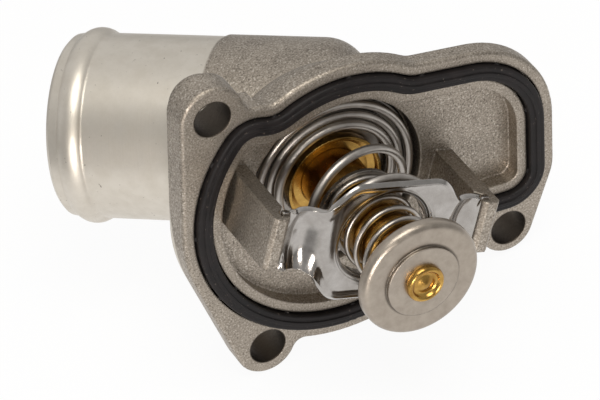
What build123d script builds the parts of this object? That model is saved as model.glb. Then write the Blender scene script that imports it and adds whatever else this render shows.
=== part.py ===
"""Engine thermostat built into a three-bolt outlet housing with a hose neck.

The mounting face is the plane Y = 0 and faces -Y, the thermostat axis is the Y axis, +Z is up.
The origin is where that axis crosses the mounting face. A height is measured from the mounting
face along -Y, out of the housing, so everything inside the casting has a negative height.
"""
import os
from math import acos, atan2, cos, hypot, radians, sin

from build123d import *

# Flange, seal groove and pocket
flange_thickness = 4.0
seal_left_centre = (0.3, 0.4)
seal_left_radius = 33.3
seal_top_radius = 27.0
lobe_top_corner = (48.6, 10.3)
lobe_low_corner = (43.5, -24.4)
lobe_waist = (30.5, -21.8)
lobe_top_angle = 45.0
low_joint_angle = -63.6
left_joint_angle = 124.0
top_joint_angle = 114.0
left_joint_rounding = 6.0
top_joint_rounding = 8.0
lobe_joint_rounding = 10.0
lobe_top_rounding = 18.0
lobe_low_rounding = 7.0
lobe_waist_rounding = 7.0
groove_width = 4.4
groove_depth = 2.4
outer_land = 2.5
rim_wall = 2.2
pocket_depth = 3.7
pocket_floor_thickness = 2.8
back_step = 0.4
flange_edge_rounding = 0.9
pad_side_x = -14.0

# Bolt holes
hole_radius = 4.2
hole_places = [(-24.5, 33.6), (-24.7, -31.1), (35.5, -30.9)]
boss_radii = [7.4, 7.0, 6.4]
back_boss_radius = 5.8
back_boss_depth = 9.0
boss_joints = ((-17.3, 31.8), (-17.9, -32.9), (30.4, -27.1))
boss_joint_rounding = 2.5

# Valve bore, seat and inner passage
valve_bore_radius = 20.6
seat_depth = 8.6
seat_opening_radius = 17.4
bowl_wall = 3.6
bowl_depth = 19.0
bowl_rounding = 7.0
passage_depth = 17.0
passage_rounding = 8.0

# Hose neck and elbow
neck_angle = 42.0
neck_axis_depth = 24.5
neck_outer_radius = 20.3
neck_inner_radius = 17.2
neck_root_distance = 14.2
neck_root_step = 0.5
neck_end_distance = 49.4
elbow_wall = 3.5
elbow_back_distance = 16.3
elbow_end_radius = 9.0
elbow_inner_rounding = 7.0
bead_distance = 43.9
bead_height = 1.2
bead_width = 5.6
neck_end_drop = 0.3
neck_end_rounding = 0.8

# Inner boss for the piston and the web that carries it
piston_boss_radius = 5.0
piston_boss_depth = 16.0
piston_socket_depth = 2.0
web_width = 5.0
web_drop = 1.5
web_depth = 23.0

# Legs and strap
strap_angle = -25.0
leg_inner_radius = 23.5
leg_thickness = 4.0
leg_width = 12.4
leg_height = 18.2
leg_edge = 0.8
nose_height = 1.3
nose_reach = 1.8
notch_drop = 0.8
strap_half_length = 25.1
strap_thickness = 1.4
table_bend_radius = 3.4
valley_start_radius = 2.6
valley_end_radius = 1.8
end_bend_radius = 1.8
table_height = 19.3
table_half_length = 14.8
arm_height = 15.5
valley_start = 18.6
valley_end = 21.0
end_length = 23.4
table_half_width = 13.9
table_corner_length = 10.2
table_corner_rounding = 5.0
arm_half_width = 6.9
waist_length = 16.4
waist_rounding = 4.0
lip_height = 1.3
lip_spare = 0.4
lip_end_gap = 0.3
strap_hole_radius = 10.4
collar_drop = 1.7
hole_rounding = 1.3

# Main valve and its spring
plate_radius = 19.6
plate_thickness = 1.2
plate_hole_gap = 0.05
valve_rubber_width = 2.8
valve_rubber_thickness = 0.7
valve_rubber_reach = 0.4
dish_rim_radius = 11.0
dish_height = 2.9
dish_thickness = 0.7
dish_foot_radius = 9.6
main_wire_radius = 1.0
main_radii = (19.3, 16.7, 14.1, 13.5, 13.1, 13.1)
main_shares = (0, 0, 0.005, 0.13, 0.93, 1)
main_start_angle = 270.0
coil_steps = 12
dead_steps = 3
spring_gap = 0.02

# Wax element
capsule_radius = 7.0
capsule_wall = 0.9
capsule_top = 27.6
capsule_rounding = 1.0
collar_radius = 9.0
crimp_wall = 1.05
crimp_thickness = 0.6
crimp_lip_radius = 6.6
guide_flange_thickness = 1.0
guide_radius = 4.6
guide_length = 4.6
piston_radius = 2.0
piston_running_gap = 0.05
piston_tip_height = 5.0
boot_radius = 3.6
boot_flange_thickness = 0.6
boot_end_thickness = 1.4
boot_washer_radius = 4.0
boot_washer_thickness = 0.6

# Bypass disc, its stem and its spring
stem_radius = 3.2
rivet_radius = 4.15
rivet_height = 0.9
rivet_rim = 0.9
rivet_dent = 0.5
disc_radius = 13.6
disc_thickness = 1.2
disc_rim_depth = 2.6
disc_face_height = 35.2
disc_step_radius = 8.3
disc_step_height = 0.8
disc_edge_rounding = 1.5
disc_running_gap = 0.08
bypass_wire_radius = 0.6
bypass_mean_radius = 8.1
bypass_turns = 6.0
bypass_start_angle = 120.0
spring_seat_height = 6.3
spring_seat_thickness = 1.0
spring_seat_radius = 9.5

# Rubber seal in the flange
seal_width = 3.6
seal_height = 1.4
seal_edge_rounding = 0.5
seal_ridge_width = 0.9
seal_ridge_height = 0.3
nib_radius = 0.7
nib_height = 0.3
nib_gap = 0.02
nibs_per_side = 13

os.makedirs("parts", exist_ok=True)

overlap = 1.0
groove_half = groove_width / 2
flange_grow = groove_half + outer_land
back_depth = pocket_depth + pocket_floor_thickness
bowl_radius = valve_bore_radius + bowl_wall
elbow_radius = neck_inner_radius + elbow_wall
neck_direction = (-cos(radians(neck_angle)), sin(radians(neck_angle)), 0)
neck_axis = Axis((0, neck_axis_depth, 0), neck_direction)
nose_bottom = leg_height - nose_height
plate_bottom = -seat_depth + valve_rubber_thickness
plate_top = plate_bottom + plate_thickness
crimp_top = plate_bottom
crimp_inner_radius = collar_radius - crimp_wall
boot_flange_top = crimp_top - crimp_thickness
guide_flange_top = boot_flange_top - boot_flange_thickness
guide_flange_bottom = guide_flange_top - guide_flange_thickness
collar_bottom = guide_flange_bottom - crimp_thickness
guide_bottom = guide_flange_bottom - guide_length
chamber_radius = capsule_radius - capsule_wall
bore_radius = piston_radius + piston_running_gap
boot_inner_top = piston_tip_height + piston_running_gap
boot_top = boot_inner_top + boot_end_thickness
plateau_height = disc_face_height + disc_step_height
main_low = plate_top + main_wire_radius + spring_gap
main_high = table_height - strap_thickness - main_wire_radius - spring_gap


def polar(radius, angle):
    return (radius * cos(radians(angle)), radius * sin(radians(angle)))


def face_plane(height):
    """Plane along the mounting face: local x is X, local y is Z, extrusion leaves the housing."""
    return Plane(origin=(0, -height, 0), x_dir=(1, 0, 0), z_dir=(0, -1, 0))


def radial_plane(angle):
    """Plane through the valve axis: local x is the radius at that angle, local y is the height."""
    x, z = polar(1.0, angle)
    return Plane(origin=(0, 0, 0), x_dir=(x, 0, z), z_dir=(z, 0, -x))


def strap_plane():
    """Plan view plane of the strap: local x runs along it, local y across it."""
    x, z = polar(1.0, strap_angle)
    return Plane(origin=(0, 0, 0), x_dir=(x, 0, z), z_dir=(0, -1, 0))


def neck_section_plane():
    """Half-section plane of the neck: local x is the radius, local y runs along the neck."""
    across = (-neck_direction[1], neck_direction[0], 0)
    return Plane(origin=(0, neck_axis_depth, 0), x_dir=(0, 0, 1), z_dir=across)


def rounded_plug(plane, radius, bottom, top, rounding):
    """Half-section of a plug with a rounded bottom, standing on the turning axis of a plane."""
    with BuildSketch(plane) as section:
        with BuildLine():
            Polyline((radius, bottom + rounding), (radius, top), (0, top), (0, bottom))
            Line((0, bottom), (radius - rounding, bottom))
            RadiusArc((radius - rounding, bottom), (radius, bottom + rounding), -rounding)
        make_face()
    return section.sketch


def turned(points):
    """Half-section of a turned piece, a closed outline of radii and heights."""
    with BuildSketch(radial_plane(0)) as section:
        with BuildLine():
            Polyline(*points, close=True)
        make_face()
    return section.sketch


def left_point(angle):
    """Point on the left arc of the seal's centre line."""
    x, z = polar(seal_left_radius, angle)
    return (seal_left_centre[0] + x, seal_left_centre[1] + z)


def corner_centre(before, corner, after, rounding):
    """Centre of the arc that rounds a corner between two straight lines."""
    first = atan2(before[1] - corner[1], before[0] - corner[0])
    second = atan2(after[1] - corner[1], after[0] - corner[0])
    reach = rounding / abs(sin((second - first) / 2))
    middle = (first + second) / 2
    return (corner[0] + reach * cos(middle), corner[1] + reach * sin(middle))


def seal_area(grow):
    """Area inside the seal's centre line, grown by an amount on all sides."""
    low_joint = left_point(low_joint_angle)
    left_joint = left_point(left_joint_angle)
    left_middle = left_point((low_joint_angle + left_joint_angle) / 2 + 180)
    top_joint = polar(seal_top_radius, top_joint_angle)
    top_middle = polar(seal_top_radius, (top_joint_angle + lobe_top_angle) / 2)
    lobe_joint = polar(seal_top_radius, lobe_top_angle)
    roundings = (
        (left_joint, left_joint_rounding),
        (top_joint, top_joint_rounding),
        (lobe_joint, lobe_joint_rounding),
        (lobe_top_corner, lobe_top_rounding),
        (lobe_low_corner, lobe_low_rounding),
        (lobe_waist, lobe_waist_rounding),
    )
    with BuildSketch() as area:
        with BuildLine():
            ThreePointArc(low_joint, left_middle, left_joint)
            Line(left_joint, top_joint)
            ThreePointArc(top_joint, top_middle, lobe_joint)
            Polyline(lobe_joint, lobe_top_corner, lobe_low_corner, lobe_waist, low_joint)
        make_face()
        for corner, rounding in roundings:
            fillet(area.vertices().sort_by_distance((corner[0], corner[1], 0))[0], rounding)
        if grow:
            offset(amount=grow, kind=Kind.INTERSECTION)
    return area.sketch


def tangent_web(small, small_radius, large, large_radius, side):
    """Web between two circles, bounded by their outer tangent on one side and by the two centres."""
    across = large[0] - small[0]
    up = large[1] - small[1]
    turn = atan2(up, across) + side * acos((small_radius - large_radius) / hypot(across, up))
    near = (small[0] + small_radius * cos(turn), small[1] + small_radius * sin(turn))
    far = (large[0] + large_radius * cos(turn), large[1] + large_radius * sin(turn))
    return [small, near, far, large]


def flange_area():
    """Outline of the flange: a land round the seal groove, run into the three bolt bosses."""
    left = seal_left_radius + flange_grow
    low = lobe_low_rounding + flange_grow
    low_centre = corner_centre(lobe_top_corner, lobe_low_corner, lobe_waist, lobe_low_rounding)
    ends = ((seal_left_centre, left, -1), (seal_left_centre, left, 1), (low_centre, low, -1))
    webs = [
        tangent_web(place, boss, centre, radius, side)
        for place, boss, (centre, radius, side) in zip(hole_places, boss_radii, ends)
    ]
    with BuildSketch() as area:
        add(seal_area(flange_grow))
        for place, boss in zip(hole_places, boss_radii):
            with Locations(place):
                Circle(boss)
        for corners in webs:
            with BuildLine():
                Polyline(*corners, close=True)
            make_face()
        for x, z in boss_joints:
            fillet(area.vertices().sort_by_distance((x, z, 0))[0], boss_joint_rounding)
    return area.sketch


def shifted(points, amount):
    """Points of a line moved sideways by an amount, its corners kept sharp."""
    normals = []
    for (x0, y0), (x1, y1) in zip(points, points[1:]):
        length = hypot(x1 - x0, y1 - y0)
        normals.append(((y0 - y1) / length, (x1 - x0) / length))
    moved = []
    for place, before, after in zip(points, normals[:1] + normals, normals + normals[-1:]):
        share = amount / (1 + before[0] * after[0] + before[1] * after[1])
        moved.append((place[0] + share * (before[0] + after[0]), place[1] + share * (before[1] + after[1])))
    return moved


def strap_layer(low, high):
    """Side view of a layer of the strap between two distances from the sheet's upper line."""
    bends = (
        (table_half_length, table_height, 1, table_bend_radius),
        (valley_start, arm_height, -1, valley_start_radius),
        (valley_end, arm_height, -1, valley_end_radius),
        (end_length, nose_bottom, 1, end_bend_radius),
    )
    right = [(x, y) for x, y, crest, radius in bends] + [(strap_half_length + overlap, nose_bottom)]
    upper = [(-x, y) for x, y in reversed(right)] + right
    with BuildSketch() as layer:
        with BuildLine():
            Polyline(*shifted(upper, low), *reversed(shifted(upper, high)), close=True)
        make_face()
        for amount in (low, high):
            moved = shifted(upper, amount)
            for place, (x, y, crest, radius) in zip(moved[1:-1], bends[::-1] + bends):
                corner = layer.vertices().sort_by_distance((place[0], place[1], 0))[0]
                fillet(corner, radius + crest * amount)
    return layer.sketch


def strap_outline(inset, end_reach):
    """Plan view of the strap, drawn in by an amount along its long sides."""
    waist = (waist_length - inset / 2, arm_half_width - inset)
    corner = (table_corner_length - inset / 2, table_half_width - inset)
    half = [(strap_half_length + end_reach, arm_half_width - inset), waist, corner]
    upper = half + [(-x, y) for x, y in reversed(half)]
    with BuildSketch() as outline:
        with BuildLine():
            Polyline(*upper, *[(-x, -y) for x, y in upper], close=True)
        make_face()
        for place, rounding in ((waist, waist_rounding + inset), (corner, table_corner_rounding - inset)):
            for u, v in ((1, 1), (-1, 1), (1, -1), (-1, -1)):
                spot = (u * place[0], v * place[1], 0)
                fillet(outline.vertices().sort_by_distance(spot)[0], rounding)
    return outline.sketch


def coil(radii, heights, start, step):
    """Points along a spring: level dead ends, and radius and height run evenly over each turn."""
    places = []
    turns = len(radii) - 1
    for count in range(-dead_steps, turns * step + dead_steps + 1):
        place = min(max(count / step, 0), turns)
        turn = min(int(place), turns - 1)
        share = place - turn
        radius = radii[turn] + share * (radii[turn + 1] - radii[turn])
        height = heights[turn] + share * (heights[turn + 1] - heights[turn])
        x, z = polar(radius, start + 360 * count / step)
        places.append((x, -height, z))
    return places


with BuildPart() as housing:
    # Flange, its thicker left part and the floor behind the pocket
    with BuildSketch(face_plane(0)):
        add(flange_area())
    extrude(amount=-flange_thickness)
    with BuildSketch(face_plane(0)):
        add(flange_area())
        with Locations((pad_side_x + valve_bore_radius * 4, 0)):
            Rectangle(valve_bore_radius * 8, valve_bore_radius * 8, mode=Mode.SUBTRACT)
    extrude(amount=-back_depth)
    with BuildSketch(face_plane(0)):
        with Locations(hole_places[-1]):
            Circle(boss_radii[-1] - back_step)
        add(seal_area(-back_step))
    extrude(amount=-back_depth)
    fillet(housing.faces().sort_by(Axis.Y)[0].outer_wire().edges(), flange_edge_rounding)
    with BuildSketch(face_plane(-flange_thickness)):
        with Locations(*hole_places):
            Circle(back_boss_radius)
    extrude(amount=flange_thickness - back_boss_depth)
    # Bowl behind the valve bore
    add(rounded_plug(radial_plane(0), bowl_radius, -bowl_depth, 0, bowl_rounding))
    revolve(axis=Axis.Y)
    # Elbow and hose neck
    with BuildSketch(neck_section_plane()):
        with BuildLine():
            Line((0, -elbow_back_distance), (elbow_radius - elbow_end_radius, -elbow_back_distance))
            RadiusArc(
                (elbow_radius - elbow_end_radius, -elbow_back_distance),
                (elbow_radius, elbow_end_radius - elbow_back_distance),
                -elbow_end_radius,
            )
            Polyline(
                (elbow_radius, elbow_end_radius - elbow_back_distance),
                (elbow_radius, neck_root_distance),
                (neck_outer_radius, neck_root_distance + neck_root_step),
                (neck_outer_radius, bead_distance - bead_width / 2),
            )
            ThreePointArc(
                (neck_outer_radius, bead_distance - bead_width / 2),
                (neck_outer_radius + bead_height, bead_distance),
                (neck_outer_radius, bead_distance + bead_width / 2),
            )
            Polyline(
                (neck_outer_radius, bead_distance + bead_width / 2),
                (neck_outer_radius - neck_end_drop, neck_end_distance - neck_end_rounding),
                (neck_outer_radius - neck_end_drop - neck_end_rounding, neck_end_distance),
                (0, neck_end_distance),
                (0, -elbow_back_distance),
            )
        make_face()
    revolve(axis=neck_axis)
    # Pocket, valve bore, seat opening and the passage into the neck
    with BuildSketch(face_plane(0)):
        add(seal_area(-groove_half - rim_wall))
    extrude(amount=-pocket_depth, mode=Mode.SUBTRACT)
    with BuildSketch(face_plane(0)):
        Circle(valve_bore_radius)
    extrude(amount=-seat_depth, mode=Mode.SUBTRACT)
    add(rounded_plug(radial_plane(0), seat_opening_radius, -passage_depth, 0, passage_rounding))
    revolve(axis=Axis.Y, mode=Mode.SUBTRACT)
    add(
        rounded_plug(
            neck_section_plane(),
            neck_inner_radius,
            elbow_wall - elbow_back_distance,
            neck_end_distance + overlap,
            elbow_inner_rounding,
        )
    )
    revolve(axis=neck_axis, mode=Mode.SUBTRACT)
    # Seal groove
    with BuildSketch(face_plane(0)):
        add(seal_area(groove_half))
        add(seal_area(-groove_half), mode=Mode.SUBTRACT)
    extrude(amount=-groove_depth, mode=Mode.SUBTRACT)
    # Web and boss that carry the piston
    with BuildSketch(face_plane(-web_depth)):
        Rectangle(web_width, 2 * (neck_inner_radius + overlap))
    extrude(amount=web_depth - piston_boss_depth - web_drop)
    with BuildSketch(face_plane(-web_depth)):
        Circle(piston_boss_radius)
    extrude(amount=web_depth - piston_boss_depth)
    with BuildSketch(face_plane(-piston_boss_depth)):
        Circle(piston_radius)
    extrude(amount=-piston_socket_depth, mode=Mode.SUBTRACT)
    # Legs with a notch under each nose
    notch_radius = leg_inner_radius + nose_reach
    leg_outer_radius = leg_inner_radius + leg_thickness
    notch_bottom = arm_height - strap_thickness - notch_drop
    for angle in (strap_angle, strap_angle + 180):
        with BuildSketch(radial_plane(angle)):
            with BuildLine():
                Polyline(
                    (leg_inner_radius, -pocket_depth - overlap),
                    (leg_outer_radius, -pocket_depth - overlap),
                    (leg_outer_radius, leg_height - leg_edge),
                    (leg_outer_radius - leg_edge, leg_height),
                    (notch_radius - leg_edge, leg_height),
                    (leg_inner_radius, nose_bottom + leg_edge / 2),
                    (leg_inner_radius, nose_bottom),
                    (notch_radius, nose_bottom),
                    (notch_radius, notch_bottom + nose_reach),
                    (leg_inner_radius, notch_bottom),
                    close=True,
                )
            make_face()
        extrude(amount=leg_width / 2, both=True)
    # Bolt holes
    with BuildSketch(face_plane(0)):
        with Locations(*hole_places):
            Circle(hole_radius)
    extrude(amount=-back_boss_depth - overlap, mode=Mode.SUBTRACT)
housing.part.label = "housing"
export_step(housing.part, "parts/housing.step")

with BuildPart() as seal:
    with BuildSketch(face_plane(-groove_depth)):
        add(seal_area(seal_width / 2))
        add(seal_area(-seal_width / 2), mode=Mode.SUBTRACT)
    extrude(amount=groove_depth + seal_height)
    fillet(seal.edges().group_by(Axis.Y)[0], seal_edge_rounding)
    with BuildSketch(face_plane(seal_height)):
        add(seal_area(seal_ridge_width / 2))
        add(seal_area(-seal_ridge_width / 2), mode=Mode.SUBTRACT)
    extrude(amount=seal_ridge_height)
    # Nibs that centre the seal between the groove walls
    nib_reach = groove_half - nib_gap - nib_radius
    for shift in (nib_reach, -nib_reach):
        rail = seal_area(shift).faces()[0].outer_wire()
        for count in range(nibs_per_side):
            place = rail.position_at(count / nibs_per_side)
            with BuildSketch(face_plane(-groove_depth)):
                with Locations((place.X, place.Y)):
                    Circle(nib_radius)
            extrude(amount=groove_depth + nib_height)
seal.part.label = "seal"
export_step(seal.part, "parts/seal.step")

with BuildPart() as strap_hollow:
    with BuildSketch(radial_plane(strap_angle)):
        add(strap_layer(0, lip_height + lip_spare))
    extrude(amount=table_half_width + overlap, both=True)
    with BuildSketch(strap_plane()):
        add(strap_outline(strap_thickness, 2 * overlap))
    extrude(amount=table_height + lip_height + 2 * overlap, mode=Mode.INTERSECT)

with BuildPart() as strap:
    with BuildSketch(radial_plane(strap_angle)):
        add(strap_layer(-strap_thickness, lip_height))
    extrude(amount=table_half_width + overlap, both=True)
    with BuildSketch(strap_plane()):
        add(strap_outline(0, 0))
    extrude(amount=table_height + lip_height + overlap, mode=Mode.INTERSECT)
    add(strap_hollow.part, mode=Mode.SUBTRACT)
    # The lips stop short of the legs, so that the flat ends reach under the noses
    with BuildSketch(strap_plane().offset(nose_bottom)):
        with Locations((strap_half_length, 0), (-strap_half_length, 0)):
            Rectangle(2 * (strap_half_length - leg_inner_radius + lip_end_gap), 2 * table_half_width)
    extrude(amount=lip_height + overlap, mode=Mode.SUBTRACT)
    with BuildSketch(face_plane(table_height - strap_thickness / 2)):
        Circle(strap_hole_radius + strap_thickness)
    extrude(amount=-collar_drop - strap_thickness / 2)
    with BuildSketch(face_plane(0)):
        Circle(strap_hole_radius)
    extrude(amount=table_height + overlap, mode=Mode.SUBTRACT)
    mouth = strap.edges().filter_by(GeomType.CIRCLE).sort_by_distance((0, -table_height, 0))
    fillet([edge for edge in mouth if abs(edge.center().Y + table_height) < spring_gap][:1], hole_rounding)
strap.part.label = "strap"
export_step(strap.part, "parts/strap.step")

with BuildPart() as main_valve:
    add(
        turned(
            [
                (capsule_radius + plate_hole_gap, plate_bottom),
                (plate_radius, plate_bottom),
                (plate_radius, plate_top),
                (capsule_radius + plate_hole_gap, plate_top),
            ]
        )
    )
    revolve(axis=Axis.Y)
main_valve.part.label = "main_valve"
export_step(main_valve.part, "parts/main_valve.step")

with BuildPart() as valve_rubber:
    add(
        turned(
            [
                (plate_radius + valve_rubber_reach - valve_rubber_width, -seat_depth),
                (plate_radius + valve_rubber_reach, -seat_depth),
                (plate_radius + valve_rubber_reach, plate_bottom),
                (plate_radius + valve_rubber_reach - valve_rubber_width, plate_bottom),
            ]
        )
    )
    revolve(axis=Axis.Y)
valve_rubber.part.label = "valve_rubber"
export_step(valve_rubber.part, "parts/valve_rubber.step")

with BuildPart() as valve_dish:
    add(
        turned(
            [
                (capsule_radius + plate_hole_gap, plate_top),
                (dish_foot_radius, plate_top),
                (dish_rim_radius, plate_top + dish_thickness),
                (dish_rim_radius, plate_top + dish_height),
                (dish_rim_radius - dish_thickness, plate_top + dish_height),
                (dish_rim_radius - dish_thickness, plate_top + 2 * dish_thickness),
                (dish_foot_radius - dish_thickness, plate_top + dish_thickness),
                (capsule_radius + plate_hole_gap, plate_top + dish_thickness),
            ]
        )
    )
    revolve(axis=Axis.Y)
valve_dish.part.label = "valve_dish"
export_step(valve_dish.part, "parts/valve_dish.step")

with BuildPart() as capsule:
    add(
        turned(
            [
                (0, capsule_top - capsule_wall),
                (chamber_radius, capsule_top - capsule_wall),
                (chamber_radius, boot_flange_top),
                (crimp_inner_radius, boot_flange_top),
                (crimp_inner_radius, guide_flange_bottom),
                (crimp_lip_radius, guide_flange_bottom),
                (crimp_lip_radius, collar_bottom),
                (collar_radius, collar_bottom),
                (collar_radius, crimp_top),
                (capsule_radius, crimp_top),
                (capsule_radius, capsule_top - capsule_rounding),
                (capsule_radius - capsule_rounding, capsule_top),
                (stem_radius, capsule_top),
                (stem_radius, plateau_height),
                (rivet_radius, plateau_height),
                (rivet_radius, plateau_height + rivet_height),
                (rivet_radius - rivet_rim, plateau_height + rivet_height),
                (rivet_radius - 2 * rivet_rim, plateau_height + rivet_height - rivet_dent),
                (0, plateau_height + rivet_height),
            ]
        )
    )
    revolve(axis=Axis.Y)
capsule.part.label = "capsule"
export_step(capsule.part, "parts/capsule.step")

with BuildPart() as capsule_guide:
    add(
        turned(
            [
                (bore_radius, guide_bottom),
                (guide_radius, guide_bottom),
                (guide_radius, guide_flange_bottom),
                (crimp_inner_radius, guide_flange_bottom),
                (crimp_inner_radius, guide_flange_top),
                (boot_washer_radius, guide_flange_top),
                (boot_washer_radius, guide_flange_top - boot_washer_thickness),
                (bore_radius, guide_flange_top - boot_washer_thickness),
            ]
        )
    )
    revolve(axis=Axis.Y)
capsule_guide.part.label = "capsule_guide"
export_step(capsule_guide.part, "parts/capsule_guide.step")

with BuildPart() as boot_washer:
    with BuildSketch(face_plane(guide_flange_top)):
        Circle(boot_washer_radius)
        Circle(bore_radius, mode=Mode.SUBTRACT)
    extrude(amount=-boot_washer_thickness)
boot_washer.part.label = "boot_washer"
export_step(boot_washer.part, "parts/boot_washer.step")

with BuildPart() as rubber_boot:
    add(
        turned(
            [
                (bore_radius, guide_flange_top),
                (crimp_inner_radius, guide_flange_top),
                (crimp_inner_radius, boot_flange_top),
                (boot_radius, boot_flange_top),
                (boot_radius, boot_top),
                (0, boot_top),
                (0, boot_inner_top),
                (bore_radius, boot_inner_top),
            ]
        )
    )
    revolve(axis=Axis.Y)
rubber_boot.part.label = "rubber_boot"
export_step(rubber_boot.part, "parts/rubber_boot.step")

with BuildPart() as wax_charge:
    add(
        turned(
            [
                (boot_radius, boot_flange_top),
                (chamber_radius, boot_flange_top),
                (chamber_radius, capsule_top - capsule_wall),
                (0, capsule_top - capsule_wall),
                (0, boot_top),
                (boot_radius, boot_top),
            ]
        )
    )
    revolve(axis=Axis.Y)
wax_charge.part.label = "wax_charge"
export_step(wax_charge.part, "parts/wax_charge.step")

with BuildPart() as piston:
    with BuildSketch(face_plane(-piston_boss_depth - piston_socket_depth)):
        Circle(piston_radius)
    extrude(amount=piston_boss_depth + piston_socket_depth + piston_tip_height)
piston.part.label = "piston"
export_step(piston.part, "parts/piston.step")

with BuildPart() as spring_seat:
    add(
        turned(
            [
                (capsule_radius + plate_hole_gap, spring_seat_height),
                (spring_seat_radius, spring_seat_height),
                (spring_seat_radius, spring_seat_height + spring_seat_thickness),
                (capsule_radius + plate_hole_gap, spring_seat_height + spring_seat_thickness),
            ]
        )
    )
    revolve(axis=Axis.Y)
spring_seat.part.label = "spring_seat"
export_step(spring_seat.part, "parts/spring_seat.step")

with BuildPart() as bypass_disc:
    disc_under = disc_face_height - disc_thickness
    disc_rim_bottom = disc_face_height - disc_rim_depth
    disc_hole_radius = stem_radius + disc_running_gap
    with BuildSketch(radial_plane(0)):
        with BuildLine():
            Line((disc_step_radius, disc_face_height), (disc_radius - disc_edge_rounding, disc_face_height))
            RadiusArc(
                (disc_radius - disc_edge_rounding, disc_face_height),
                (disc_radius, disc_face_height - disc_edge_rounding),
                disc_edge_rounding,
            )
            Polyline(
                (disc_radius, disc_face_height - disc_edge_rounding),
                (disc_radius, disc_rim_bottom),
                (disc_radius - disc_thickness, disc_rim_bottom),
                (disc_radius - disc_thickness, disc_under),
                (disc_step_radius - disc_thickness, disc_under),
                (disc_step_radius - disc_thickness, disc_under + disc_step_height),
                (disc_hole_radius, disc_under + disc_step_height),
                (disc_hole_radius, plateau_height),
                (disc_step_radius, plateau_height),
                (disc_step_radius, disc_face_height),
            )
        make_face()
    revolve(axis=Axis.Y)
bypass_disc.part.label = "bypass_disc"
export_step(bypass_disc.part, "parts/bypass_disc.step")

main_heights = [main_low + share * (main_high - main_low) for share in main_shares]
with BuildPart() as main_spring:
    with BuildLine() as main_line:
        Spline(*coil(main_radii, main_heights, main_start_angle, coil_steps))
    with BuildSketch(Plane(origin=main_line.line @ 0, z_dir=main_line.line % 0)):
        Circle(main_wire_radius)
    sweep(path=main_line.line, is_frenet=True)
main_spring.part.label = "main_spring"
export_step(main_spring.part, "parts/main_spring.step")

bypass_low = spring_seat_height + spring_seat_thickness + bypass_wire_radius + spring_gap
bypass_high = disc_under - bypass_wire_radius - spring_gap
with BuildPart() as bypass_spring:
    rise = (bypass_high - bypass_low) / bypass_turns
    count = int(bypass_turns)
    heights = [bypass_low + rise * turn for turn in range(count + 1)]
    with BuildLine() as bypass_line:
        Spline(*coil([bypass_mean_radius] * (count + 1), heights, bypass_start_angle, coil_steps))
    with BuildSketch(Plane(origin=bypass_line.line @ 0, z_dir=bypass_line.line % 0)):
        Circle(bypass_wire_radius)
    sweep(path=bypass_line.line, is_frenet=True)
bypass_spring.part.label = "bypass_spring"
export_step(bypass_spring.part, "parts/bypass_spring.step")
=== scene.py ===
import math

import bpy
import numpy
from mathutils import Matrix, Vector


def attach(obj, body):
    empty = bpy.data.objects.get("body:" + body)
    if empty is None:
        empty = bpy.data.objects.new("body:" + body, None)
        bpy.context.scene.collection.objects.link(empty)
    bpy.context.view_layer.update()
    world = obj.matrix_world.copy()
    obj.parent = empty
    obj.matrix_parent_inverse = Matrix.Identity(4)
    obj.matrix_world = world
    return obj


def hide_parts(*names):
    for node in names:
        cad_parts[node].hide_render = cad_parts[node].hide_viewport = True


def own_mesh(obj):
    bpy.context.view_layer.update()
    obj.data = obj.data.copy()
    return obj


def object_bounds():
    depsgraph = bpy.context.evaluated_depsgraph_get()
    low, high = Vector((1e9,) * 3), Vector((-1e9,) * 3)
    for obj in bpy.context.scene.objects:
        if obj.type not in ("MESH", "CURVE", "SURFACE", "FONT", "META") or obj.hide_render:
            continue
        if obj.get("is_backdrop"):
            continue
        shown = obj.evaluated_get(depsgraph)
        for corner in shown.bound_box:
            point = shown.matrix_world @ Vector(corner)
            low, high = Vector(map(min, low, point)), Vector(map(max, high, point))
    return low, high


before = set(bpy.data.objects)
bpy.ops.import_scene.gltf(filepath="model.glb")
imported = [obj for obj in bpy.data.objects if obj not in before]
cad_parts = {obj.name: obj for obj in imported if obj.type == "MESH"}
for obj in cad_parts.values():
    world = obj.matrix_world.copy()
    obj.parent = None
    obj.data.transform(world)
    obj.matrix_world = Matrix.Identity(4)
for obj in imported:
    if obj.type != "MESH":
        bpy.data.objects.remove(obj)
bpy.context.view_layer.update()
bpy.ops.object.select_all(action="DESELECT")
print("frame loaded")

# The picture's view: a long lens from above and to the left, a little rolled
cameraSettings = {
    "lens": 263.3,
    "right": (0.8737, -0.4542, -0.1741),
    "up": (0.4201, 0.5241, 0.7408),
    "back": (-0.2452, -0.7204, 0.6487),
    "shift": (-0.00926, -0.00194),
    "distance": 0.9321,
}


def addCamera(settings):
    right, up, back = (Vector(settings[side]).normalized() for side in ("right", "up", "back"))
    place = right * settings["shift"][0] + up * settings["shift"][1] + back * settings["distance"]
    data = bpy.data.cameras.new("camera")
    data.lens = settings["lens"]
    data.sensor_width = 36.0
    data.sensor_fit = "HORIZONTAL"
    data.clip_start = 0.05
    data.clip_end = 10.0
    camera = bpy.data.objects.new("camera", data)
    turn = Matrix((right, up, back)).transposed().to_4x4()
    camera.matrix_world = Matrix.Translation(place) @ turn
    bpy.context.scene.collection.objects.link(camera)
    bpy.context.scene.camera = camera


addCamera(cameraSettings)

# A soft box overhead, a lower one in front, and a room that is lighter at the back than in front
lightSettings = {
    "keyWatts": 3.6,
    "keySize": 0.50,
    "keyPlace": (0.025, -0.24, 0.76),
    "keyColour": (1.0, 0.98, 0.92),
    "fillWatts": 4.8,
    "fillSize": 0.30,
    "fillPlace": (-0.41, -0.80, 0.10),
    "fillColour": (1.0, 0.95, 0.90),
    "frontLevel": 0.40,
    "backLevel": 0.72,
    "backEdge": (-0.3, 0.5),
}
# The paper glows evenly white where it is seen; in reflections it glows as a painted pool of light, white
# near the object and darker further off
floorSettings = {
    "colour": (0.93, 0.925, 0.92, 1.0), "glow": 0.93, "size": 6.0,
    "near": 0.10, "far": 0.34, "farLevel": 0.30,
}


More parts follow.
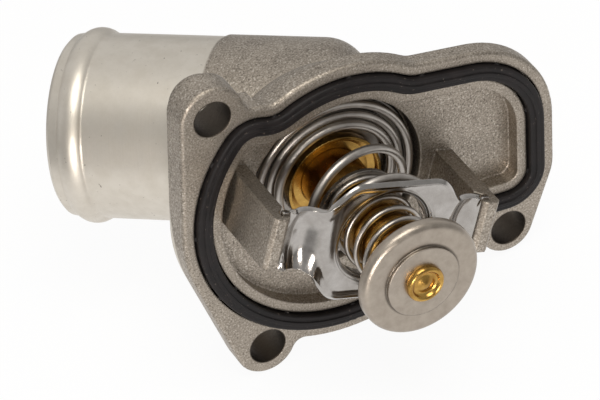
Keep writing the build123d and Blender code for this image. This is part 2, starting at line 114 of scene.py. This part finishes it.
def addWorld(settings):
    world = bpy.data.worlds.new("studio")
    bpy.context.scene.world = world
    world.use_nodes = True
    nodes, links = world.node_tree.nodes, world.node_tree.links
    nodes.clear()
    output = nodes.new("ShaderNodeOutputWorld")
    split = nodes.new("ShaderNodeSeparateXYZ")
    links.new(nodes.new("ShaderNodeTexCoord").outputs["Generated"], split.inputs[0])
    level = nodes.new("ShaderNodeMapRange")
    level.interpolation_type = "SMOOTHSTEP"
    level.inputs["From Min"].default_value, level.inputs["From Max"].default_value = settings["backEdge"]
    level.inputs["To Min"].default_value = settings["frontLevel"]
    level.inputs["To Max"].default_value = settings["backLevel"]
    links.new(split.outputs["Y"], level.inputs["Value"])
    room = nodes.new("ShaderNodeBackground")
    links.new(level.outputs["Result"], room.inputs["Strength"])
    white = nodes.new("ShaderNodeBackground")
    path = nodes.new("ShaderNodeLightPath")
    seen = nodes.new("ShaderNodeMath")
    seen.operation = "MAXIMUM"
    links.new(path.outputs["Is Camera Ray"], seen.inputs[0])
    links.new(path.outputs["Is Transmission Ray"], seen.inputs[1])
    mix = nodes.new("ShaderNodeMixShader")
    links.new(seen.outputs[0], mix.inputs["Fac"])
    links.new(room.outputs[0], mix.inputs[1])
    links.new(white.outputs[0], mix.inputs[2])
    links.new(mix.outputs[0], output.inputs["Surface"])
    for background in (room, white):
        background.inputs["Color"].default_value = (1.0, 1.0, 1.0, 1.0)


def addSoftBox(name, place, watts, size, colour):
    data = bpy.data.lights.new(name, "AREA")
    data.energy = watts
    data.shape = "SQUARE"
    data.size = size
    data.color = colour
    light = bpy.data.objects.new(name, data)
    light.location = place
    light.rotation_euler = (Vector((0, 0, 0)) - Vector(place)).to_track_quat("-Z", "Y").to_euler()
    bpy.context.scene.collection.objects.link(light)


def addFloor(settings):
    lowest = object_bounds()[0][2]
    bpy.ops.mesh.primitive_plane_add(size=settings["size"], location=(0, 0, lowest))
    floor = bpy.context.active_object
    floor.name = "floor"
    material = bpy.data.materials.new("whitePaper")
    material.use_nodes = True
    nodes, links = material.node_tree.nodes, material.node_tree.links
    shader = nodes["Principled BSDF"]
    shader.inputs["Base Color"].default_value = settings["colour"]
    shader.inputs["Roughness"].default_value = 0.9
    # Lifted towards white where it is seen, and a painted pool of light where it is mirrored, with the
    # object's shadow kept
    path = nodes.new("ShaderNodeLightPath")
    distance = nodes.new("ShaderNodeVectorMath")
    distance.operation = "LENGTH"
    links.new(nodes.new("ShaderNodeTexCoord").outputs["Object"], distance.inputs[0])
    paintedLightPool = nodes.new("ShaderNodeMapRange")
    paintedLightPool.interpolation_type = "SMOOTHSTEP"
    paintedLightPool.inputs["From Min"].default_value = settings["near"]
    paintedLightPool.inputs["From Max"].default_value = settings["far"]
    paintedLightPool.inputs["To Min"].default_value = 1.0
    paintedLightPool.inputs["To Max"].default_value = settings["farLevel"]
    links.new(distance.outputs["Value"], paintedLightPool.inputs["Value"])
    strength = nodes.new("ShaderNodeMath")
    strength.operation = "MAXIMUM"
    links.new(path.outputs["Is Camera Ray"], strength.inputs[0])
    links.new(paintedLightPool.outputs["Result"], strength.inputs[1])
    glow = nodes.new("ShaderNodeEmission")
    links.new(strength.outputs[0], glow.inputs["Strength"])
    seen = nodes.new("ShaderNodeMath")
    seen.operation = "MAXIMUM"
    links.new(path.outputs["Is Camera Ray"], seen.inputs[0])
    links.new(path.outputs["Is Glossy Ray"], seen.inputs[1])
    amount = nodes.new("ShaderNodeMath")
    amount.operation = "MULTIPLY"
    amount.inputs[1].default_value = settings["glow"]
    links.new(seen.outputs[0], amount.inputs[0])
    mix = nodes.new("ShaderNodeMixShader")
    links.new(amount.outputs[0], mix.inputs["Fac"])
    links.new(shader.outputs[0], mix.inputs[1])
    links.new(glow.outputs[0], mix.inputs[2])
    links.new(mix.outputs[0], nodes["Material Output"].inputs["Surface"])
    floor.data.materials.append(material)
    floor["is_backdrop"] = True
    bpy.ops.object.select_all(action="DESELECT")


addWorld(lightSettings)
for lamp in ("key", "fill"):
    addSoftBox(
        lamp + "SoftBox",
        lightSettings[lamp + "Place"],
        lightSettings[lamp + "Watts"],
        lightSettings[lamp + "Size"],
        lightSettings[lamp + "Colour"],
    )
addFloor(floorSettings)
bpy.context.scene.view_settings.view_transform = "Standard"
print("studio set")


# Shared parts of the finishes
edgeSamples = 6
# Where the noises of the plain finishes change from one tone to the next
cloudStops = (0.32, 0.68)
wearStops = (0.62, 0.74)
dustStops = (0.66, 0.76)
evenStops = (0.3, 0.7)
smoothest = 0.03


def newFinish(name, metallic):
    material = bpy.data.materials.new(name)
    material.use_nodes = True
    tree = material.node_tree
    shader = tree.nodes["Principled BSDF"]
    shader.inputs["Metallic"].default_value = metallic
    place = tree.nodes.new("ShaderNodeTexCoord").outputs["Object"]
    return material, tree, shader, place


def addNoise(tree, place, size, detail=3.0, rough=0.6):
    # size is that of one blotch, in metres
    noise = tree.nodes.new("ShaderNodeTexNoise")
    noise.inputs["Scale"].default_value = 1.0 / size
    noise.inputs["Detail"].default_value = detail
    noise.inputs["Roughness"].default_value = rough
    tree.links.new(place, noise.inputs["Vector"])
    return noise.outputs["Fac"]


def addRamp(tree, value, stops):
    # stops are pairs of a place on the ramp and a colour or grey
    ramp = tree.nodes.new("ShaderNodeValToRGB")
    stops = tuple(stops)
    while len(ramp.color_ramp.elements) < len(stops):
        ramp.color_ramp.elements.new(0.5)
    for element, (position, colour) in zip(ramp.color_ramp.elements, stops):
        element.position = position
        element.color = (*colour, 1.0) if isinstance(colour, tuple) else (colour, colour, colour, 1.0)
    tree.links.new(value, ramp.inputs["Fac"])
    return ramp.outputs["Color"]


def addSpread(tree, value, middle, spread):
    # A roughness that runs from middle - spread to middle + spread
    return addRamp(tree, value, zip(evenStops, (max(middle - spread, smoothest), middle + spread)))


def addMix(tree, amount, first, second):
    mix = tree.nodes.new("ShaderNodeMix")
    mix.data_type = "RGBA"
    for socket, value in ((mix.inputs[0], amount), (mix.inputs[6], first), (mix.inputs[7], second)):
        if isinstance(value, bpy.types.NodeSocket):
            tree.links.new(value, socket)
        elif isinstance(value, tuple):
            socket.default_value = (*value, 1.0)
        else:
            socket.default_value = value
    return mix.outputs[2]


def addShare(tree, radius, low, high):
    # 0 up to the low radius, 1 from the high one
    share = tree.nodes.new("ShaderNodeMapRange")
    share.inputs["From Min"].default_value, share.inputs["From Max"].default_value = low, high
    tree.links.new(radius.outputs["Value"], share.inputs["Value"])
    return share.outputs["Result"]


def addBump(tree, shader, heights, edge):
    # Edges rounded by a small radius, then one bump on top of another, the coarsest first
    rounding = tree.nodes.new("ShaderNodeBevel")
    rounding.samples = edgeSamples
    rounding.inputs["Radius"].default_value = edge
    normal = rounding.outputs["Normal"]
    for height, depth, strength in heights:
        bump = tree.nodes.new("ShaderNodeBump")
        bump.inputs["Strength"].default_value = strength
        bump.inputs["Distance"].default_value = depth
        tree.links.new(height, bump.inputs["Height"])
        tree.links.new(normal, bump.inputs["Normal"])
        normal = bump.outputs["Normal"]
    tree.links.new(normal, shader.inputs["Normal"])


def dress(piece, material):
    for placeholder in piece.material_slots:
        placeholder.material = material


# Housing: shot-blasted casting with a turned neck
castSettings = {
    "dark": (0.225, 0.194, 0.160),
    "light": (0.470, 0.414, 0.350),
    "glint": (0.72, 0.67, 0.60),
    "pit": (0.09, 0.077, 0.063),
    "toneStops": (0.36, 0.64),
    "glintStops": (0.60, 0.72),
    "pitStops": (0.26, 0.38),
    "speckStops": (0.24, 0.29),
    "neckStops": (0.35, 0.62),
    "grainShare": 0.75,
    "glintShare": 0.8,
    "pitShare": 0.8,
    "roughness": 0.50,
    "roughSpread": 0.10,
    "blotch": 0.006,
    "blotchDepth": 0.00012,
    "grain": 0.00042,
    "grainDepth": 0.00005,
    "edge": 0.0006,
    "neckDark": (0.62, 0.570, 0.495),
    "neckLight": (0.68, 0.630, 0.555),
    "neckRoughness": 0.42,
    "neckSpread": 0.03,
    "stain": 0.0042,
    "speck": 0.0009,
    "neckAngle": 42.0,
    "neckDepth": 0.0245,
    "neckStart": (0.0148, 0.0152),
    "turning": 0.00035,
    "turningDepth": 0.000012,
    # Bolt hole centres, and the painted shade that darkens the inside of each
    "holes": ((-0.0245, 0.0336), (-0.0247, -0.0311), (0.0355, -0.0309)),
    "holeEdge": (0.00425, 0.00445),
    "paintedHoleShade": (0.085, 0.070, 0.056),
}


def castFinish(name, settings):
    material, tree, shader, place = newFinish(name, 1.0)
    nodes, links = tree.nodes, tree.links
    blotch = addNoise(tree, place, settings["blotch"], 4.0)
    grain = addNoise(tree, place, settings["grain"], 2.0, 0.7)
    mottled = addMix(tree, settings["grainShare"], blotch, grain)
    low, high = settings["toneStops"]
    cast = addRamp(tree, mottled, ((low, settings["dark"]), (high, settings["light"])))
    low, high = settings["glintStops"]
    glints = addRamp(tree, grain, ((low, 0.0), (high, settings["glintShare"])))
    low, high = settings["pitStops"]
    pits = addRamp(tree, grain, ((low, settings["pitShare"]), (high, 0.0)))
    cast = addMix(tree, glints, cast, settings["glint"])
    cast = addMix(tree, pits, cast, settings["pit"])
    # The neck beyond its root is turned smooth and bright
    turn = math.radians(settings["neckAngle"])
    away = (-math.cos(turn), math.sin(turn), 0.0)
    moved = nodes.new("ShaderNodeVectorMath")
    moved.operation = "SUBTRACT"
    moved.inputs[1].default_value = (0.0, settings["neckDepth"], 0.0)
    links.new(place, moved.inputs[0])
    along = nodes.new("ShaderNodeVectorMath")
    along.operation = "DOT_PRODUCT"
    along.inputs[1].default_value = away
    links.new(moved.outputs[0], along.inputs[0])
    turned = addShare(tree, along, *settings["neckStart"])
    marks = nodes.new("ShaderNodeTexNoise")
    marks.noise_dimensions = "1D"
    marks.inputs["Scale"].default_value = 1.0 / settings["turning"]
    marks.inputs["Detail"].default_value = 3.0
    links.new(along.outputs["Value"], marks.inputs["W"])
    stains = addNoise(tree, place, settings["stain"], 6.0, 0.65)
    low, high = settings["neckStops"]
    neck = addRamp(tree, stains, ((low, settings["neckDark"]), (high, settings["neckLight"])))
    low, high = settings["speckStops"]
    specks = addRamp(tree, addNoise(tree, place, settings["speck"], 2.0), ((low, 1.0), (high, 0.0)))
    neck = addMix(tree, specks, neck, settings["dark"])
    # Painted shade: the bolt holes are drilled, and are made darker inside where shade falls
    flat = nodes.new("ShaderNodeVectorMath")
    flat.operation = "MULTIPLY"
    flat.inputs[1].default_value = (1.0, 0.0, 1.0)
    links.new(place, flat.inputs[0])
    for x, z in settings["holes"]:
        reach = nodes.new("ShaderNodeVectorMath")
        reach.operation = "DISTANCE"
        reach.inputs[1].default_value = (x, 0.0, z)
        links.new(flat.outputs[0], reach.inputs[0])
        cast = addMix(tree, addShare(tree, reach, *settings["holeEdge"]), settings["paintedHoleShade"], cast)
    links.new(addMix(tree, turned, cast, neck), shader.inputs["Base Color"])
    castRough = addSpread(tree, grain, settings["roughness"], -settings["roughSpread"])
    neckRough = addSpread(tree, stains, settings["neckRoughness"], -settings["neckSpread"])
    links.new(addMix(tree, turned, castRough, neckRough), shader.inputs["Roughness"])
    smooth = nodes.new("ShaderNodeMath")
    smooth.operation = "SUBTRACT"
    smooth.inputs[0].default_value = 1.0
    links.new(turned, smooth.inputs[1])
    coarse = nodes.new("ShaderNodeMath")
    coarse.operation = "MULTIPLY"
    links.new(grain, coarse.inputs[0])
    links.new(smooth.outputs[0], coarse.inputs[1])
    fine = nodes.new("ShaderNodeMath")
    fine.operation = "MULTIPLY"
    links.new(marks.outputs["Fac"], fine.inputs[0])
    links.new(turned, fine.inputs[1])
    addBump(
        tree,
        shader,
        (
            (blotch, settings["blotchDepth"], 0.35),
            (coarse.outputs[0], settings["grainDepth"], 0.9),
            (fine.outputs[0], settings["turningDepth"], 0.8),
        ),
        settings["edge"],
    )
    return material


# Pressed, drawn and polished metal
def metalFinish(name, settings):
    material, tree, shader, place = newFinish(name, 1.0)
    cloud = addNoise(tree, place, settings["cloud"], 4.0)
    grain = addNoise(tree, place, settings["grain"], 3.0, 0.65)
    colour = addRamp(tree, cloud, zip(cloudStops, (settings["dark"], settings["light"])))
    wear = addRamp(tree, grain, zip(wearStops, (0.0, settings["wear"])))
    rough = addSpread(tree, cloud, settings["roughness"], settings["spread"])
    tree.links.new(rough, shader.inputs["Roughness"])
    heights = [(cloud, settings["dent"], 0.5), (grain, settings["grainDepth"], 0.8)]
    if settings["brush"]:
        # Fine lines drawn round the axis of the element
        moved = tree.nodes.new("ShaderNodeSeparateXYZ")
        tree.links.new(place, moved.inputs[0])
        around = tree.nodes.new("ShaderNodeCombineXYZ")
        tree.links.new(moved.outputs["X"], around.inputs["X"])
        tree.links.new(moved.outputs["Z"], around.inputs["Y"])
        radius = tree.nodes.new("ShaderNodeVectorMath")
        radius.operation = "LENGTH"
        tree.links.new(around.outputs[0], radius.inputs[0])
        rings = tree.nodes.new("ShaderNodeTexNoise")
        rings.noise_dimensions = "1D"
        rings.inputs["Scale"].default_value = 1.0 / settings["brush"]
        rings.inputs["Detail"].default_value = 4.0
        tree.links.new(radius.outputs["Value"], rings.inputs["W"])
        heights.append((rings.outputs["Fac"], settings["brushDepth"], 0.8))
        if "step" in settings:
            # Painted shade: a dark line at the foot of the raised middle, where its wall falls in shade
            foot = addRamp(tree, addShare(tree, radius, *settings["step"]), settings["stepTones"])
            colour = addMix(tree, foot, colour, settings["stepShade"])
    tree.links.new(addMix(tree, wear, colour, settings["worn"]), shader.inputs["Base Color"])
    addBump(tree, shader, heights, settings["edge"])
    return material


# Rubber, wax and plastic: dull and slightly dusty
rubberSpread = 0.08
rubberDent = 0.00008
rubberGrain = 0.00002


def rubberFinish(name, settings):
    material, tree, shader, place = newFinish(name, 0.0)
    cloud = addNoise(tree, place, settings["cloud"], 4.0)
    dust = addNoise(tree, place, settings["dust"], 3.0)
    dust = addRamp(tree, dust, zip(dustStops, (0.0, settings["dusty"])))
    colour = addRamp(tree, cloud, zip(evenStops, (settings["dark"], settings["light"])))
    tree.links.new(addMix(tree, dust, colour, settings["dustColour"]), shader.inputs["Base Color"])
    rough = addSpread(tree, cloud, settings["roughness"], rubberSpread)
    tree.links.new(rough, shader.inputs["Roughness"])
    grain = addNoise(tree, place, settings["grain"], 3.0)
    shader.inputs["Specular IOR Level"].default_value = settings["shine"]
    heights = ((cloud, rubberDent, 0.5), (grain, rubberGrain, 0.7))
    addBump(tree, shader, heights, settings["edge"])
    return material


springSettings = {
    "dark": (0.40, 0.365, 0.33), "light": (0.52, 0.485, 0.445), "worn": (0.66, 0.63, 0.59),
    "wear": 0.5, "roughness": 0.36, "spread": 0.05, "cloud": 0.003, "grain": 0.00025,
    "dent": 0.00002, "grainDepth": 0.000012, "brush": 0, "edge": 0.0001,
}
strapSettings = {
    "dark": (0.36, 0.335, 0.31), "light": (0.47, 0.445, 0.42), "worn": (0.64, 0.61, 0.58),
    "wear": 0.4, "roughness": 0.16, "spread": 0.03, "cloud": 0.0035, "grain": 0.0003,
    "dent": 0.00004, "grainDepth": 0.000006, "brush": 0, "edge": 0.00015,
}
plateSettings = {
    "dark": (0.30, 0.275, 0.25), "light": (0.42, 0.39, 0.355), "worn": (0.55, 0.52, 0.48),
    "wear": 0.4, "roughness": 0.30, "spread": 0.06, "cloud": 0.003, "grain": 0.0003,
    "dent": 0.00003, "grainDepth": 0.00001, "brush": 0, "edge": 0.0003,
}
discSettings = {
    "dark": (0.345, 0.295, 0.245), "light": (0.43, 0.375, 0.315), "worn": (0.62, 0.58, 0.52),
    "wear": 0.45, "roughness": 0.36, "spread": 0.05, "cloud": 0.0022, "grain": 0.00022,
    "dent": 0.00004, "grainDepth": 0.00002, "brush": 0.00022, "brushDepth": 0.000005, "edge": 0.0005,
    # Painted shade: a dark ring at the foot of the raised middle
    "step": (0.0080, 0.0089), "stepShade": (0.10, 0.085, 0.07),
    "stepTones": ((0.0, 0.0), (0.28, 0.0), (0.42, 0.85), (0.62, 0.7), (1.0, 0.0)),
}
brassSettings = {
    "dark": (0.33, 0.18, 0.045), "light": (0.60, 0.37, 0.10), "worn": (0.82, 0.62, 0.30),
    "wear": 0.4, "roughness": 0.24, "spread": 0.06, "cloud": 0.003, "grain": 0.0003,
    "dent": 0.00003, "grainDepth": 0.00001, "brush": 0.0003, "brushDepth": 0.000004, "edge": 0.0003,
}
sealSettings = {
    "dark": (0.006, 0.005, 0.005), "light": (0.014, 0.011, 0.011), "dustColour": (0.16, 0.13, 0.11),
    "dusty": 0.8, "dust": 0.0008, "cloud": 0.003, "grain": 0.0003,
    "roughness": 0.50, "shine": 0.22, "edge": 0.0004,
}
waxSettings = {
    "dark": (0.14, 0.055, 0.02), "light": (0.24, 0.11, 0.05), "dustColour": (0.3, 0.2, 0.1),
    "dusty": 0.3, "dust": 0.001, "cloud": 0.002, "grain": 0.0004,
    "roughness": 0.5, "shine": 0.4, "edge": 0.0003,
}
washerSettings = {
    "dark": (0.66, 0.66, 0.63), "light": (0.78, 0.78, 0.75), "dustColour": (0.5, 0.5, 0.48),
    "dusty": 0.2, "dust": 0.001, "cloud": 0.002, "grain": 0.0004,
    "roughness": 0.35, "shine": 0.5, "edge": 0.0002,
}
cast = castFinish("shotBlastedCasting", castSettings)
springSteel = metalFinish("drawnSpringWire", springSettings)
strapSteel = metalFinish("polishedStrapSheet", strapSettings)
plateSteel = metalFinish("pressedValvePlate", plateSettings)
discSteel = metalFinish("tumbledDiscSheet", discSettings)
brass = metalFinish("drawnBrass", brassSettings)
rubber = rubberFinish("mouldedRubber", sealSettings)
wax = rubberFinish("waxCharge", waxSettings)
washerPlastic = rubberFinish("whiteWasher", washerSettings)
for node, finish in {
    "housing": cast, "seal": rubber, "strap": strapSteel, "main_valve": plateSteel, "valve_rubber": rubber,
    "valve_dish": brass, "capsule": brass, "capsule_guide": brass, "boot_washer": washerPlastic,
    "rubber_boot": rubber, "wax_charge": wax, "piston": plateSteel, "spring_seat": plateSteel,
    "bypass_disc": discSteel, "main_spring": springSteel, "bypass_spring": springSteel,
}.items():
    dress(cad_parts[node], finish)
print("finishes assigned")


# Strap over the springs: a pressed sheet whose rim curls up all along its sides
strapShape = {
    "angle": -25.0,
    "profile": ((0.0, 19.3), (14.8, 19.3), (18.6, 15.5), (21.0, 15.5), (23.4, 16.9), (25.1, 16.9)),
    "bends": (7.0, 3.4, 1.8, 1.8),
    "side": ((25.1, 6.9), (16.8, 7.2), (10.3, 13.5), (-10.3, 13.5), (-16.8, 7.2), (-25.1, 6.9)),
    "corners": (4.0, 5.0, 5.0, 4.0),
    "hole": 10.4,
    "holeRounding": 2.2,
    "collar": 2.4,
    "tableLip": 0.9,
    "armLip": 1.5,
    "tableLipWidth": 1.9,
    "armLipWidth": 5.6,
    "lipEnd": (22.2, 23.3),
    "sheet": 1.15,
    "edge": 0.12,
    "around": 420,
    "out": 64,
    "collarRows": 14,
    "wallRows": 2,
    "armStart": (12.0, 17.0),
    "mergeDistance": 0.000002,
    "cutAngle": 50,
    "smoothAngle": 35,
}


def roundedLine(points, radii, steps=10):
    # Straight runs with each inner corner turned into an arc
    line = [Vector(points[0])]
    for before, corner, after, radius in zip(points, points[1:], points[2:], radii):
        corner = Vector(corner)
        first, second = (Vector(before) - corner).normalized(), (Vector(after) - corner).normalized()
        half = first.angle(second) / 2
        centre = corner + (first + second).normalized() * (radius / math.sin(half))
        reach = radius / math.tan(half)
        start, end = corner + first * reach - centre, corner + second * reach - centre
        for step in range(steps + 1):
            line.append(centre + start.slerp(end, step / steps).normalized() * radius)
    line.append(Vector(points[-1]))
    return numpy.array([tuple(place) for place in line])


def alongLine(line, shares):
    # Points at even shares of a line's length
    lengths = numpy.concatenate(([0.0], numpy.cumsum(numpy.linalg.norm(numpy.diff(line, axis=0), axis=1))))
    wanted = shares * lengths[-1]
    return numpy.stack([numpy.interp(wanted, lengths, line[:, axis]) for axis in (0, 1)], axis=1)


def distanceTo(line, places):
    nearest = numpy.full(len(places), 1e9)
    for start, end in zip(line, line[1:]):
        run = end - start
        length = float(run @ run)
        if length < 1e-9:
            continue
        share = numpy.clip((places - start) @ run / length, 0.0, 1.0)
        nearest = numpy.minimum(nearest, numpy.linalg.norm(places - start - share[:, None] * run, axis=1))
    return nearest


def easeBetween(values, low, high):
    share = numpy.clip((values - low) / (high - low), 0.0, 1.0)
    return share * share * (3.0 - 2.0 * share)


def makeStrap(shape, material):
    around, out = shape["around"], shape["out"]
    collarRows, wallRows = shape["collarRows"], shape["wallRows"]
    bpy.ops.mesh.primitive_grid_add(x_subdivisions=around, y_subdivisions=out + collarRows, size=1.0)
    strap = bpy.context.active_object
    strap.name = "strapSheet"
    flat = numpy.empty(len(strap.data.vertices) * 3)
    strap.data.vertices.foreach_get("co", flat)
    flat = flat.reshape(-1, 3) + 0.5
    rows = numpy.rint(flat[:, 1] * (out + collarRows)).astype(int)
    side = roundedLine(shape["side"], shape["corners"])
    outline = numpy.concatenate((side, -side, side[:1]))
    rim = alongLine(outline, flat[:, 0])
    toward = rim / numpy.linalg.norm(rim, axis=1)[:, None]
    # From the foot of the collar up its wall, over the rounded mouth and out to the rim
    turn = numpy.clip(rows - wallRows, 0, collarRows - wallRows) / (collarRows - wallRows) * (math.pi / 2)
    radius = shape["hole"] + shape["holeRounding"] * (1.0 - numpy.cos(turn))
    below = numpy.clip(wallRows - rows, 0, wallRows) / wallRows
    drop = shape["holeRounding"] * (1.0 - numpy.sin(turn)) + shape["collar"] * below
    outward = numpy.clip(rows - collarRows, 0, out) / out
    plan = toward * radius[:, None] * (1.0 - outward[:, None]) + rim * outward[:, None]
    profile = roundedLine(shape["profile"], shape["bends"])
    length = numpy.abs(plan[:, 0])
    height = numpy.interp(length, profile[:, 0], profile[:, 1]) - drop
    onArm = easeBetween(length, *shape["armStart"])
    width = shape["tableLipWidth"] + (shape["armLipWidth"] - shape["tableLipWidth"]) * onArm
    lip = shape["tableLip"] + (shape["armLip"] - shape["tableLip"]) * onArm
    upper = plan * numpy.where(plan[:, 1:] < 0.0, -1.0, 1.0)  # both halves are alike
    curl = numpy.clip(1.0 - distanceTo(side, upper) / width, 0.0, 1.0)
    height = height + lip * curl ** 2 * (1.0 - easeBetween(length, *shape["lipEnd"]))
    tilt = math.radians(shape["angle"])
    x = plan[:, 0] * math.cos(tilt) - plan[:, 1] * math.sin(tilt)
    z = plan[:, 0] * math.sin(tilt) + plan[:, 1] * math.cos(tilt)
    strap.data.vertices.foreach_set("co", (numpy.stack((x, -height, z), axis=1) / 1000.0).ravel())
    strap.data.update()
    bpy.ops.object.mode_set(mode="EDIT")
    bpy.ops.mesh.select_all(action="SELECT")
    bpy.ops.mesh.remove_doubles(threshold=shape["mergeDistance"])
    if sum(face.normal.y * face.area for face in strap.data.polygons) > 0:
        bpy.ops.mesh.flip_normals()
    bpy.ops.object.mode_set(mode="OBJECT")
    thick = strap.modifiers.new("sheet", "SOLIDIFY")
    thick.thickness = shape["sheet"] / 1000.0
    thick.offset = -1.0
    cutEdge = strap.modifiers.new("cutEdge", "BEVEL")
    cutEdge.width = shape["edge"] / 1000.0
    cutEdge.segments = 2
    cutEdge.limit_method = "ANGLE"
    cutEdge.angle_limit = math.radians(shape["cutAngle"])
    bpy.ops.object.modifier_apply(modifier="sheet")
    bpy.ops.object.modifier_apply(modifier="cutEdge")
    bpy.ops.object.shade_smooth_by_angle(angle=math.radians(shape["smoothAngle"]))
    strap.data.materials.append(material)
    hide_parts("strap")
    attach(strap, "outlet")
    bpy.ops.object.select_all(action="DESELECT")


makeStrap(strapShape, strapSteel)
print("strap pressed")


# Head of the stem: a rolled brass rim round a bright point, as radii and heights over the base
rivetShape = {
    "base": 36.0,
    "sides": 96,
    "smoothAngle": 40,
    "steps": (
        (4.18, 0.0), (4.26, 0.55), (4.20, 1.00), (3.98, 1.32), (3.66, 1.48), (3.36, 1.42), (3.12, 1.15),
        (2.94, 0.80), (2.70, 0.52), (2.38, 0.45), (1.9, 0.68), (1.1, 1.08), (0.4, 1.40), (0.05, 1.50),
    ),
}


# A ring of edges at the first radius and height, drawn on through the others
def turnPiece(name, shape, material):
    steps = [(radius, shape["base"] + height) for radius, height in shape["steps"]]
    firstRadius, firstHeight = (size / 1000.0 for size in steps[0])
    bpy.ops.mesh.primitive_circle_add(vertices=shape["sides"], radius=firstRadius, fill_type="NOTHING")
    piece = bpy.context.active_object
    piece.name = name
    bpy.ops.object.mode_set(mode="EDIT")
    bpy.ops.mesh.select_all(action="SELECT")
    bpy.ops.transform.translate(value=(0, 0, firstHeight))
    for (radius, height), (newRadius, newHeight) in zip(steps, steps[1:]):
        rise = (0, 0, (newHeight - height) / 1000.0)
        bpy.ops.mesh.extrude_region_move(TRANSFORM_OT_translate={"value": rise})
        share = newRadius / radius
        bpy.ops.transform.resize(value=(share, share, 1.0))
    bpy.ops.mesh.merge(type="CENTER")
    bpy.ops.mesh.select_all(action="SELECT")
    bpy.ops.mesh.normals_make_consistent(inside=False)
    bpy.ops.object.mode_set(mode="OBJECT")
    piece.rotation_euler = (math.radians(90), 0, 0)  # heights now run along -Y
    bpy.ops.object.transform_apply(location=False, rotation=True, scale=False)
    piece.data.materials.append(material)
    bpy.ops.object.shade_smooth_by_angle(angle=math.radians(shape["smoothAngle"]))
    bpy.ops.object.select_all(action="DESELECT")
    return piece


rivet = turnPiece("rivetHead", rivetShape, brass)
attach(rivet, "element")
print("rivet head turned")


# Springs copied from the CAD wire, merged, shaded smooth and hung on the body that carries each
coilSettings = {
    "main_spring": {
        "name": "mainSpringWire", "body": "outlet", "joint": "element_slide",
        "fixedEnd": -0.0179, "travel": 0.008,
    },
    "bypass_spring": {
        "name": "bypassSpringWire", "body": "element", "joint": "bypass_slide",
        "fixedEnd": -0.0073, "travel": 0.005,
    },
}
coilMerge = 0.000001
coilSmoothAngle = 40


def shortenSpring(node, settings):
    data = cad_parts[node].data.copy()
    spring = bpy.data.objects.new(settings["name"], data)
    bpy.context.scene.collection.objects.link(spring)
    bpy.ops.object.select_all(action="DESELECT")
    bpy.context.view_layer.objects.active = spring
    spring.select_set(True)
    bpy.ops.object.mode_set(mode="EDIT")
    bpy.ops.mesh.select_all(action="SELECT")
    bpy.ops.mesh.remove_doubles(threshold=coilMerge)
    bpy.ops.object.mode_set(mode="OBJECT")
    bpy.ops.object.shade_smooth_by_angle(angle=math.radians(coilSmoothAngle))
    data.materials.clear()
    data.materials.append(springSteel)
    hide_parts(node)
    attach(spring, settings["body"])
    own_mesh(spring)
    spring.select_set(False)


for node, coil in coilSettings.items():
    shortenSpring(node, coil)
print("springs set")
